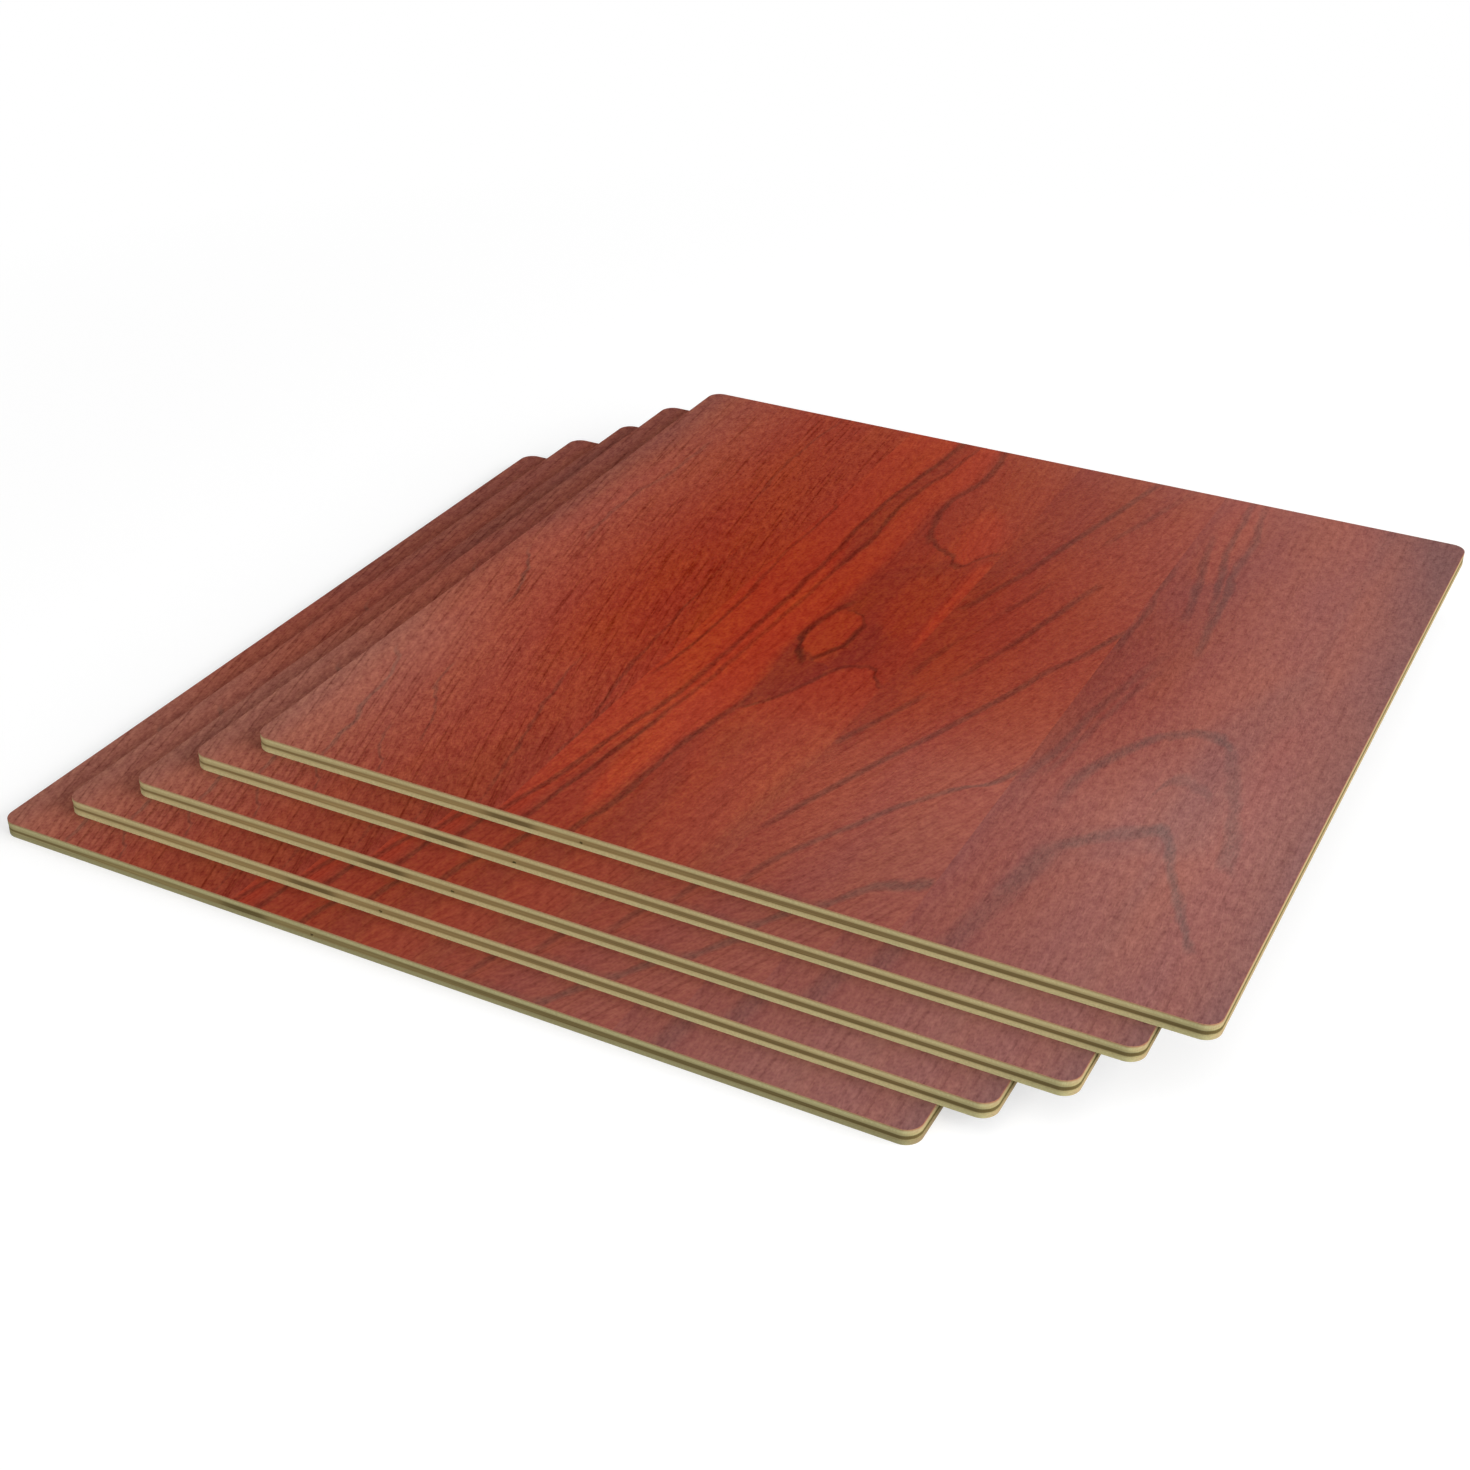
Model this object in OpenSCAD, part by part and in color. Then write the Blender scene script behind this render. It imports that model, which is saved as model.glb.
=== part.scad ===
// A small stack of square plywood sheets. Each sheet is glued up from three plies and
// has rounded corners. Every sheet lies flat on the one below, stepped to the right and
// to the rear, so that the front and left margins of the lower sheets stay in view.
//
// The origin is on the floor, under the middle of the whole stack. +X runs along the
// front edges, +Y runs to the rear along the grain of the faces, and +Z is up.

/* [Sheet] */
// Width of a sheet, along its front edge
sheet_w = 300; // [150:5:610]
// Depth of a sheet, along the grain of its face
sheet_d = 300; // [150:5:610]
// Radius of the four corners, seen from above
corner_r = 5; // [1:0.5:20]

/* [Plies] */
// Thickness of the face ply, which carries the stained and lacquered face
face_ply_t = 1.6; // [0.5:0.1:4]
// Thickness of the core ply, whose grain runs across that of the other two
core_ply_t = 1.8; // [0.5:0.1:6]
// Thickness of the back ply
back_ply_t = 1.6; // [0.5:0.1:4]

/* [Stack] */
// Number of sheets in the stack
sheet_count = 5; // [1:1:12]
// Mean step to the right, from one sheet to the next one up
step_x = 15; // [0:0.5:25]
// Mean step to the rear, from one sheet to the next one up
step_y = 12.5; // [0:0.5:20]

/* [Hidden] */
// The sheets were laid by hand, so each step is a share of the mean one, from the bottom up
step_x_shares = [1.00, 1.12, 0.79, 1.04];
step_y_shares = [1.02, 0.94, 1.14, 0.88];

sheet_t = back_ply_t + core_ply_t + face_ply_t;
top_sheet = sheet_count - 1;

stained_face = "#8f3f2b";
cross_grain = "#6f5c3a";
bare_veneer = "#a89468";

$fn = 64;

function node_name(k, ply) = str("sheet_", k + 1, "_", ply);

// Sum of the first k step shares, which start again where the list runs out
function summed(shares, k) =
    k == 0 ? 0 : summed(shares, k - 1) + shares[(k - 1) % len(shares)];

// Centre of sheet k's underside, with the stack as a whole centred on the origin
function seat(k) = [
    step_x * (summed(step_x_shares, k) - summed(step_x_shares, top_sheet) / 2),
    step_y * (summed(step_y_shares, k) - summed(step_y_shares, top_sheet) / 2),
    sheet_t * k
];

// Outline of a sheet: a cross of two rectangles, with a disc in each of its four notches
module sheet_outline() {
    square([sheet_w - 2 * corner_r, sheet_d], center = true);
    square([sheet_w, sheet_d - 2 * corner_r], center = true);
    for (side_x = [-1, 1], side_y = [-1, 1])
        translate([side_x * (sheet_w / 2 - corner_r), side_y * (sheet_d / 2 - corner_r)])
            circle(r = corner_r);
}

// One sheet of veneer, with its underside at a height above the sheet's own underside
module veneer(thickness, height) {
    translate([0, 0, height])
        linear_extrude(height = thickness)
            sheet_outline();
}

module back_ply() {
    color(bare_veneer)
        veneer(back_ply_t, 0);
}

module core_ply() {
    color(cross_grain)
        veneer(core_ply_t, back_ply_t);
}

module face_ply() {
    color(stained_face)
        veneer(face_ply_t, back_ply_t + core_ply_t);
}

for (k = [0 : top_sheet]) {
    translate(seat(k)) back_ply();
    translate(seat(k)) core_ply();
    translate(seat(k)) face_ply();
}
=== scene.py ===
"""Looks for a stepped stack of stained plywood sheets, laid out as a Blender add-on.

Blender's own lengths are in metres. The grain figure of a face and the marks along an edge
are drawn in millimetres from the centre of a sheet, with +X to the right, +Y to the rear
along the grain and heights counted from the sheet's underside.
"""
import math

import bmesh
import bpy
from bpy.props import FloatProperty, FloatVectorProperty, IntProperty, PointerProperty
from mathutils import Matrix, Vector


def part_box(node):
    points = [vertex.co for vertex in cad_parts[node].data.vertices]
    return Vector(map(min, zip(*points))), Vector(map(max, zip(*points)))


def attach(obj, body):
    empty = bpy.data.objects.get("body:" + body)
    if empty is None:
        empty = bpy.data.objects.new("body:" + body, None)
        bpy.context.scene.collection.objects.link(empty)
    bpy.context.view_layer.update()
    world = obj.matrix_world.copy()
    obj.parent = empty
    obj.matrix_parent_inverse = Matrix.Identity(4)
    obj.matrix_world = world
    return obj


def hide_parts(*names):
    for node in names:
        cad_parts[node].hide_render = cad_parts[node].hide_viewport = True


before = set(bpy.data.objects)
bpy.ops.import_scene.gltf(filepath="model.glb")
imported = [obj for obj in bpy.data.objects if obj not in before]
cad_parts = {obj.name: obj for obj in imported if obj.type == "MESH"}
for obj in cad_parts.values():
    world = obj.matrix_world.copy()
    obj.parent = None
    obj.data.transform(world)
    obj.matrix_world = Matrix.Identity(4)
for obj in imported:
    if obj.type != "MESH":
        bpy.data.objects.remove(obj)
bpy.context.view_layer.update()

bl_info = {
    "name": "Stained plywood stack",
    "version": (1, 0, 0),
    "blender": (4, 5, 0),
    "location": "View3D > Sidebar > Plywood",
    "description": "Dresses a stack of plywood sheets with veneers, stained faces and a stage",
    "category": "Object",
}

MM = 0.001
HALF_SHEET_MM = 150.0
SHEETS = sorted({int(node.split("_")[1]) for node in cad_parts})
SENSOR_MM = 36
WHITE = (1, 1, 1, 1)

# A corner this close to a height counts as part of the rim there
RIM_TOLERANCE = 0.01 * MM
RIM_SEGMENTS = 2

# Width of the lip round a pit, as a share of the pit's height, and how close corners merge there
PIT_LIP = 0.15
MERGE_DISTANCE = 0.001 * MM

# Seams between the four leaves of veneer that make up a face, from left to right
LEAF_SEAMS_MM = (-62.4, 7.4, 63.2)

# The figure of each leaf. Its tone is a place on the stain's ramp from dark to glowing, orange
# leans the tint that way, grain and streak are the strength of the texture and of the streaks in
# it, depth is how dark the growth lines get, lean is the grain's slope and how that grows along
# y, and one more colour tints the painted sheen, a pale highlight painted into the face's colour.
# Growth lines have half their width and the points they run through: those along the grain are
# (y, x, depth), and those across it, such as the tops of arches, are (x, y, depth). Zones have a
# change of tone, a soft margin and (y, left, right) points; ends whose left lies past their right
# close a zone.
LEAVES = {
    "left_leaf": {
        "tone": 0.64, "orange": -0.05, "grain": 1.06, "streak": 0.8, "depth": 0.42,
        "lean": (0.19, -0.0004), "painted_sheen": (1.0, 1.32, 1.1),
        "along": {
            "beside_seam": (1.0, (
                (-94, -64, 0), (-88, -65, 0.8), (-75, -67.3, 0.8), (-57, -70, 0.8),
                (-40, -71.3, 0.6), (-20, -72.5, 0.8), (-8, -73.5, 0.6), (5, -74.5, 0.3),
                (20, -75.5, 0.3), (50, -76, 0))),
            "middle_stroke": (1.0, (
                (-44, -127.2, 0), (-38, -128, 0.7), (-32, -129.5, 0.9), (-22, -133, 0.9),
                (-14, -137, 0.9), (-8, -140.5, 0.6), (0, -144, 0))),
            "front_stroke": (1.0, (
                (-150, -124, 0.6), (-140, -126, 0.8), (-125, -129, 0.9), (-115, -131.8, 0.8),
                (-105, -133.3, 0.8), (-95, -136.2, 0.7), (-88, -140, 0.6), (-82, -144, 0))),
            "front_dash": (0.9, (
                (-130, -103, 0), (-123, -105, 0.6), (-116, -107.5, 0.6), (-110, -110.5, 0.7),
                (-102, -116, 0.7), (-92, -119.3, 0.7), (-84, -120.5, 0))),
            "front_tick": (0.9, (
                (-150, -104.5, 0.5), (-146, -106.5, 0.7), (-140, -110.7, 0.7), (-131, -114.8, 0.6),
                (-125, -117, 0))),
            "seam_side": (0.8, (
                (-122, -63.2, 0), (-112, -63.2, 0.7), (-90, -63.4, 0.7), (-80, -63.6, 0))),
            "rear_stroke": (1.3, (
                (10, -128, 0), (14, -129, 0.5), (30, -130.6, 0.6), (45, -131.3, 0.6),
                (60, -130, 0.5), (78, -128.2, 0.6), (98, -128, 0.5), (110, -128, 0))),
            "rear_dash": (0.9, (
                (60, -89.5, 0), (72, -90.2, 0.5), (90, -92, 0.6), (110, -93.3, 0.6),
                (128, -93, 0.6), (142, -92, 0.5), (150, -91.5, 0.4))),
            "front_lean": (0.9, (
                (-150, -69, 0.4), (-125, -74, 0.7), (-108, -78, 0.8), (-95, -81, 0.8),
                (-82, -83.5, 0.8), (-70, -86, 0.5), (-60, -87, 0))),
        },
        "across": {},
        "zones": {
            "front_shade": (-0.07, 14, (
                (-156, -96, -60), (-125, -84, -60), (-100, -70, -74))),
            "rear_corner": (-0.07, 24, (
                (60, -160, -164), (100, -160, -134), (156, -160, -124))),
            "left_margin": (-0.14, 11, (
                (-156, -170, -145), (-90, -170, -145), (0, -170, -144), (50, -170, -141),
                (90, -170, -141), (156, -170, -144))),
            "left_edge": (-0.1, 8, (
                (0, -160, -160), (30, -160, -146), (60, -160, -145), (85, -160, -158))),
        },
    },
    "flame_leaf": {
        "tone": 0.555, "orange": -0.22, "grain": 0.85, "streak": 0.5, "depth": 0.44,
        "lean": (0.0, 0.0003), "painted_sheen": (1.0, 1.32, 1.0),
        "along": {
            "seam_line": (1.0, (
                (-66, -61.5, 0), (-60, -60.5, 0.4), (-45, -59.3, 0.9), (-25, -58.3, 0.9),
                (-5, -58.3, 0.9), (10, -59.5, 0.7), (25, -60.2, 0.6), (45, -61, 0.6),
                (60, -60.3, 0.8), (70, -60.5, 0.8), (78, -62, 0.4), (84, -63, 0))),
            "twin_left": (1.5, (
                (-150, -61.3, 0.8), (-140, -59.2, 1), (-130, -56.7, 1.1), (-110, -54, 1.1),
                (-90, -51.5, 1), (-75, -48.8, 1), (-50, -46.8, 0.9), (-25, -46.3, 1),
                (0, -45.4, 1.1), (25, -45.2, 1), (50, -45.8, 1), (70, -46.4, 1.1), (100, -45, 1),
                (125, -42.4, 0.9), (150, -40.6, 0.8))),
            "twin_right": (1.3, (
                (-150, -53.6, 0.8), (-125, -50.6, 1), (-110, -48.8, 1), (-90, -46.4, 1),
                (-75, -45, 0.8), (-50, -42.8, 0.8), (-25, -41.8, 0.7), (0, -40.6, 0.8),
                (25, -40, 0.8), (45, -38.9, 0.9), (62, -38.4, 0.9), (82, -40, 0.9),
                (100, -39.2, 0.8), (125, -35.4, 0.8), (150, -33.6, 0.6))),
            "front_line": (1.6, (
                (-150, -38.3, 0.9), (-141, -36.6, 1), (-132, -34.6, 1), (-112, -33.6, 0.9),
                (-95, -32.6, 0.9), (-85, -31.2, 1), (-70, -28.6, 0.8), (-62, -27.3, 0.5),
                (-56, -26.8, 0))),
            "tongue_left": (1.8, (
                (62, -19.5, 0), (66, -20, 0.7), (70, -20.8, 0.9), (75, -22, 0.9),
                (85, -24.2, 0.9), (95, -25.4, 0.9), (105, -24.4, 0.7), (118, -22, 0.8),
                (132, -21, 0.8), (142, -22.3, 0.7), (150, -23.8, 0.6))),
            "island_left": (1.7, (
                (-36, -21.8, 0), (-30, -24, 1.1), (-22, -27.6, 1.3), (-14, -29.5, 1.3),
                (-8, -29.1, 1.1), (0, -27.8, 1), (5, -26.6, 1), (10, -25, 0.8), (15, -23, 0))),
            "island_right": (1.6, (
                (-31, -20.5, 0), (-27, -19.2, 1), (-20, -16.3, 1.2), (-12, -14.3, 1.3),
                (-4, -14.2, 1.1), (1, -16, 0.8), (5, -20, 0.6), (8, -24, 0))),
            "flame_right": (1.3, (
                (-67, -27, 0), (-64.5, -25, 0.7), (-59, -21, 0.8), (-53, -18, 0.7),
                (-45, -15, 0.7), (-36, -12, 0.8), (-30, -9.5, 0.8), (-27, -6, 0.4),
                (-25, -3, 0))),
        },
        "across": {
            "tongue_tip": (2.3, (
                (-23, 69.5, 0), (-21, 68.5, 0.8), (-17, 65.5, 0.9), (-12, 61.5, 0.9),
                (-7, 57, 0.9), (-2.5, 53, 0.9), (-0.5, 57.5, 0.7), (1.5, 61.5, 0.7),
                (4, 66, 0.6), (7.5, 69.5, 0))),
            "flame_top": (1.7, (
                (-10.5, -31, 0), (-7, -28, 0.7), (-3, -26, 0.6), (-1, -25.6, 0.8),
                (2, -29, 0.9), (4.5, -32, 0.9), (7, -34.8, 0.6), (8, -35.5, 0))),
        },
        "zones": {
            "bright_band": (0.22, 3, (
                (-156, -64, -57), (-130, -64, -54.5), (-110, -64, -52), (-90, -64, -48),
                (-70, -64, -44), (-30, -64, -40), (10, -64, -40), (30, -64, -41), (50, -64, -44),
                (70, -64, -46), (110, -64, -45), (156, -64, -41.5))),
            "bright_edge": (0.22, 4, (
                (-150, -36, -46), (-130, -42, -39), (-105, -45, -36), (-85, -45, -32.5),
                (-60, -42, -29), (-30, -41, -31.5), (0, -41, -29.5), (30, -40, -28),
                (60, -37.5, -27), (90, -39, -28), (120, -36.5, -24), (156, -35, -26))),
            "front_lift": (0.08, 9, (
                (-156, -54, -34), (-110, -54, -34), (-92, -50, -38), (-80, -44, -44))),
            "rear_dim": (-0.05, 12, (
                (0, -44, -50), (30, -68, -28), (70, -74, -22), (100, -70, -26), (140, -50, -42))),
            "tongue": (0.045, 3, (
                (48, -1, -4), (54, -3.2, -1.8), (60, -10, 0.5), (66, -17, 4), (75, -21.5, 7.3),
                (95, -25, 7.3), (118, -21, 7.3), (156, -23, 7.3))),
            "tongue_heart": (0.14, 7, (
                (50, 0, -6), (62, -9, 1), (75, -11, 3), (88, -12, 0), (102, -4, -10))),
            "dark_zone": (-0.08, 3.5, (
                (-34, -8, -14), (-25, -15, -7), (-15, -13.5, -4), (-2, -14, -7), (4, -22, -11),
                (12, -27.5, -13), (25, -26.5, -14), (40, -22, -10), (50, -13, -5), (58, -5, -9))),
            "dark_flame": (-0.13, 1.5, (
                (-68, -26, -28), (-64.5, -27.2, -25.2), (-59, -27.6, -21.2), (-45, -28.4, -15),
                (-36, -29.2, -12), (-31, -30, -15), (-28, -30.2, -21.5), (-22, -31, -27),
                (-15, -30, -31))),
            "dark_side": (-0.06, 5, (
                (-36, -10, -16), (-26, -16, -2), (-15, -13, 2), (-4, -13, -3), (4, -10, -16))),
            "island": (0.1, 1.2, (
                (-31, -20, -22), (-27, -22.5, -19.8), (-20, -27, -16.5), (-12, -29, -14.5),
                (-4, -28.3, -14.5), (2, -26.5, -17), (6, -25, -22), (9, -23, -25))),
            "arch_heart": (0.09, 4, (
                (-156, -18, -2), (-110, -22, 2), (-85, -28, 4), (-66, -26, 7.2), (-55, -19, 7.2),
                (-45, -14.5, 7.2), (-36, -11, 7), (-29, -6, 2.5), (-24, 0, -3))),
            "seam_glow": (0.2, 3, (
                (-10, 7.4, 5), (5, 4, 7.4), (30, 3, 7.4), (48, 2.5, 7.4), (62, 7.4, 5))),
            "blotch": (-0.07, 6, (
                (-104, -16, -22), (-96, -23, -15), (-86, -25, -13), (-78, -23, -15),
                (-70, -16, -22))),
        },
    },
    "slant_leaf": {
        "tone": 0.56, "orange": 0.0, "grain": 0.84, "streak": 0.45, "depth": 0.45,
        "lean": (-0.22, 0.0006), "painted_sheen": (1.0, 1.05, 0.95),
        "along": {
            "slant_a": (1.8, (
                (-126, 8, 0), (-115, 11.5, 0.7), (-104, 15, 0.9), (-92, 19, 0.9), (-80, 23, 0.9),
                (-68, 27.5, 0.9), (-55, 32.5, 0.9), (-42, 37, 0.9), (-30, 41, 0.95),
                (-20, 44.5, 0.95), (-3, 49.5, 0.8), (12, 56, 0.8), (24, 60, 1), (33, 63, 0.8),
                (37, 64.5, 0))),
            "slant_b": (1.8, (
                (-150, 15.5, 0.5), (-137, 18.7, 0.7), (-127, 23, 0.8), (-117, 28, 0.8),
                (-109, 32.2, 0.9), (-101, 36, 0.9), (-94, 40, 0.9), (-88, 44, 0.8),
                (-82, 48, 0.9), (-77, 52, 1), (-73, 57, 1), (-66, 61, 1), (-60, 63, 0.7),
                (-55, 64, 0))),
            "slant_c": (1.8, (
                (-22, 25, 0), (-15, 27.5, 0.5), (-5, 29.6, 0.5), (7, 33, 0.7), (20, 36, 0.9),
                (30, 38, 0.9), (40, 40.2, 0.9), (50, 42, 0.7), (58, 44, 0.6), (64, 45.6, 0))),
            "slant_e": (1.8, (
                (-73, 8.3, 0), (-68, 9.6, 0.8), (-58, 13, 0.8), (-47, 16.8, 0.8), (-37, 20, 0.6),
                (-30, 22, 0))),
            "slant_f": (1.8, (
                (24, 9.5, 0), (30, 11.5, 0.8), (40, 14, 0.8), (50, 17, 0.8), (62, 20, 0.7),
                (74, 22.3, 0.8), (88, 25.2, 0.9), (102, 28.2, 0.8), (116, 31.2, 0.9),
                (130, 34, 0.8), (142, 36.3, 0.7), (150, 38, 0.4))),
            "slant_g": (1.7, (
                (-25, 12.5, 0), (-18, 13, 0.6), (-8, 14.5, 0.6), (4, 17, 0.3), (20, 21, 0.2),
                (32, 24, 0.5), (42, 27, 0.6), (52, 29, 0.3), (62, 31, 0))),
            "slant_h": (1.7, (
                (90, 36.5, 0), (100, 38.5, 0.4), (112, 42, 0.5), (122, 44.5, 0.5),
                (135, 48, 0.3), (150, 52, 0.2))),
        },
        "across": {
            "slant_d": (3.6, (
                (38, -151, 0.4), (41, -148, 0.9), (44, -142.5, 0.9), (47.5, -137, 0.9),
                (51, -133.3, 1), (55, -130.5, 1), (59, -128, 1), (62, -126.8, 0.9),
                (63.2, -126.5, 0))),
        },
        "zones": {
            "seam_shade": (-0.05, 5, (
                (-90, 7, 3), (-75, 4, 13), (-45, 4, 15), (-20, 4, 14), (30, 4, 15), (56, 4, 13),
                (70, 7, 3))),
            "rear_shade": (-0.055, 14, (
                (30, 30, 0), (60, 0, 20), (100, 0, 40), (156, 0, 60))),
            "front_shade": (-0.05, 20, (
                (-156, 20, 64), (-120, 30, 64), (-90, 50, 40))),
        },
    },
    "arch_leaf": {
        "tone": 0.455, "orange": 0.05, "grain": 0.84, "streak": 0.4, "depth": 0.45,
        "lean": (0.03, 0.0), "painted_sheen": (1.0, 1.0, 0.96),
        "along": {
            "rear_a": (1.7, (
                (40, 87.5, 0), (52, 86.3, 0.4), (65, 83.5, 0.6), (78, 81.5, 0.8), (90, 79.2, 0.9),
                (100, 77.6, 0.9), (112, 76, 0.8), (128, 74.8, 0.8), (140, 74, 0.7),
                (150, 73.5, 0.5))),
            "rear_b": (2.0, (
                (28, 89, 0), (40, 88, 0.7), (58, 86.8, 0.8), (72, 85.6, 0.9), (85, 84, 0.9),
                (98, 82.7, 0.7), (112, 83, 0.7), (122, 82.3, 0.7), (132, 80.6, 0.7),
                (142, 79, 0.5), (150, 78, 0.3))),
            "rear_c": (2.0, (
                (48, 78.8, 0), (60, 77.2, 0.6), (75, 75, 0.8), (88, 73, 0.8), (98, 71, 0.7),
                (110, 69.2, 0.5), (120, 68.2, 0))),
            "rear_d": (1.6, (
                (20, 64.5, 0), (35, 64.5, 0.7), (47, 65.5, 0.7), (60, 64.5, 0.5),
                (75, 63.8, 0.6), (90, 64, 0))),
            "middle_a": (2.1, (
                (-68, 64.8, 0), (-55, 67, 0.6), (-40, 69.5, 0.7), (-25, 70.5, 0.7),
                (-12, 72.5, 0.6), (5, 75.5, 0.5), (20, 78.5, 0.3), (30, 81, 0))),
            "middle_b": (1.7, (
                (-60, 70, 0), (-45, 72.6, 0.5), (-30, 74, 0.5), (-10, 77, 0.5), (8, 80, 0.3),
                (20, 83, 0))),
            "arch_left_leg": (2.9, (
                (-80, 79, 0), (-65, 79.2, 0.5), (-55, 80.2, 0.8), (-46, 83, 0.9), (-36, 87, 0.9),
                (-28, 91, 0.9), (-22, 95, 0.7), (-18, 99, 0))),
            "arch_right_leg": (2.9, (
                (-86, 133, 0), (-78, 131, 0.6), (-68, 129, 0.7), (-55, 126, 0.6),
                (-42, 122, 0.5), (-33, 119, 0.4), (-25, 116.4, 0.5), (-20, 114.6, 0.4),
                (-16, 113, 0))),
            "inner_left_leg": (4.7, (
                (-150, 77, 0.45), (-143, 78, 0.5), (-130, 80.2, 0.45), (-120, 82, 0.55),
                (-110, 83, 0.7), (-100, 84.2, 0.7), (-94, 85.6, 0.4), (-90, 87, 0))),
            "inner_right_leg": (2.3, (
                (-124, 134.5, 0), (-119, 132.5, 0.8), (-113, 129, 0.9), (-105, 125.3, 0.9),
                (-97, 122.2, 0.9), (-90, 119, 0.9), (-82, 115.4, 0.9), (-76, 112.6, 0.8),
                (-71, 110.5, 0))),
        },
        "across": {
            "arch_top": (3.6, (
                (93, -25, 0), (96, -21.2, 0.7), (101, -18, 0.8), (106, -15.6, 0.8),
                (110, -15.8, 0.9), (114, -19, 0.9), (116, -23, 0.3), (118, -28, 0))),
            "inner_top": (4.7, (
                (83, -97, 0), (87, -92, 0.7), (91, -87.5, 0.8), (97, -81.5, 0.7), (103, -77, 0.7),
                (107, -73.7, 0.8), (110, -71.8, 0.9), (112, -74.5, 0.6), (114, -79, 0))),
            "small_top": (3.9, (
                (101, -58, 0), (102.5, -52, 0.5), (104, -46.5, 0.6), (107, -43.5, 0.5),
                (111, -44.5, 0.4), (115, -47, 0.4), (118, -52, 0))),
        },
        "zones": {
            "seam_shade": (-0.055, 5, (
                (-130, 62, 60), (-110, 60, 66), (-85, 60, 67), (-60, 60, 70), (-20, 60, 70),
                (20, 60, 69), (40, 62, 60))),
            "inner_band": (-0.05, 6, (
                (-125, 84, 76), (-112, 78, 86), (-98, 79, 95), (-86, 84, 108), (-76, 96, 114),
                (-68, 110, 104))),
            "rear_streak": (-0.03, 8, (
                (-76, 70, 60), (-50, 62, 71), (-20, 63, 76), (10, 64, 83), (30, 64, 91),
                (60, 66, 91), (85, 70, 90), (110, 72, 84), (130, 82, 74))),
            "front_shade": (-0.01, 20, (
                (-156, 70, 160), (-120, 80, 160), (-90, 110, 90))),
            "arch_shade": (-0.09, 8, (
                (-85, 114, 114), (-65, 106, 124), (-30, 106, 124), (0, 110, 128), (25, 118, 130),
                (40, 124, 124))),
            "right_edge": (-0.23, 24, (
                (-156, 150, 170), (-100, 145, 170), (-40, 141, 170), (40, 140, 170),
                (100, 136, 170), (156, 122, 170))),
            "rear_orange": (0.1, 6, (
                (76, 76, 72), (95, 69, 81), (125, 68, 82), (156, 66, 80))),
            "rear_glow": (0.015, 10, (
                (-10, 116, 100), (5, 94, 118), (40, 93, 117), (70, 96, 118), (110, 92, 112),
                (156, 90, 116))),
        },
    },
}

# The core ply along its front edge: (x, lightness, half height of the brown streak)
CORE_STREAK = (
    (-150, 0.35, 0.35), (-132, 0.35, 0.4), (-116, 0.6, 0.6), (-95, 0.75, 0.85), (-72, 0.7, 0.9),
    (-63, 0.15, 0.8), (-54, 0.1, 0.8), (-47, 0.7, 0.9), (-25, 0.6, 0.9), (0, 0.5, 0.9),
    (40, 0.35, 0.85), (80, 0.25, 0.7), (120, 0.15, 0.6), (150, 0.0, 0.55),
)

# Painted sheen, a pale highlight painted into the colour across a face: (x, level at its front, in
# its middle, at its rear)
PAINTED_SHEEN = (
    (-150, 0.079, 0.044, 0.046), (-136, 0.066, 0.040, 0.041), (-120, 0.042, 0.024, 0.030),
    (-90, 0.018, 0.003, 0.013), (-50, 0.0115, 0.0, 0.013), (0, 0.027, 0.001, 0.033),
    (50, 0.060, 0.020, 0.056), (80, 0.071, 0.042, 0.076), (110, 0.097, 0.083, 0.084),
    (150, 0.102, 0.096, 0.088),
)

# How that changes along a face: (y, share of the front's level, of the rear's, change of tone)
PAINTED_SHEEN_ALONG = (
    (-150, 0.86, 0.0, -0.09), (-115, 0.97, 0.0, -0.04), (-80, 0.87, 0.0, -0.01),
    (-60, 0.52, 0.0, 0.0), (-40, 0.22, 0.0, 0.0), (-10, 0.03, 0.0, 0.0), (20, 0.0, 0.02, -0.01),
    (60, 0.0, 0.27, -0.02), (100, 0.0, 0.56, -0.025), (120, 0.0, 0.68, -0.025),
    (150, 0.0, 1.1, -0.025),
)

# A paler patch of the painted sheen: its middle, its reach along x and y, and its level
PAINTED_SHEEN_PATCH = (106, -62, 50, 34, 0.021)

# Noise in the stain, then in the bare veneers: the size of its features along x, y and z in
# millimetres, detail, roughness and shift
NOISE = {
    "drift": ((5, 14, 1), 1.0, 0.65, 0.0),
    "clouds": ((14, 60, 1), 1.0, 0.5, 23.1),
    "mottle": ((2.2, 4.4, 1), 1.0, 0.6, 41.0),
    "streaks": ((1.2, 40, 1), 1.0, 0.6, 11.3),
    "fine": ((0.55, 1.8, 1), 1.0, 0.6, 3.7),
    "peel": ((1.2, 1.2, 1), 0.0, 0.6, 57.0),
    "fibres": ((0.8, 30, 0.5), 2.0, 0.7, 5.1),
    "patches": ((18, 60, 1.2), 2.0, 0.5, 17.0),
    "core_fibres": ((26, 1.2, 0.22), 3.0, 0.6, 8.4),
}

# How far drift bends the drawn figure along x and y, and the tints that clouds lean between
FIGURE_WAVER_MM = (1.8, 5.0)
COOL_TINT = (1.0, 0.86, 1.1, 1.0)
WARM_TINT = (1.0, 1.14, 0.9, 1.0)

# Shares of the marks that make up the texture of a face
MOTTLE_SHARE = 0.5
PEEL_SHARE = 0.24
FLECK_SHARE = 0.13
STREAK_SHARE = 0.3
VEIN_SHARE = 0.18

# Where flecks and veins start in their noise, and the span over which they grow
FLECK_START, FLECK_SPAN = 0.54, 0.16
VEIN_START, VEIN_SPAN = 0.1, 0.12

# Depth of the bump on stained and bare wood, and roughness of the bare plies
STAIN_BUMP_MM, VENEER_BUMP_MM = 0.08, 0.03
VENEER_ROUGHNESS, CORE_ROUGHNESS = 0.62, 0.7
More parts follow.
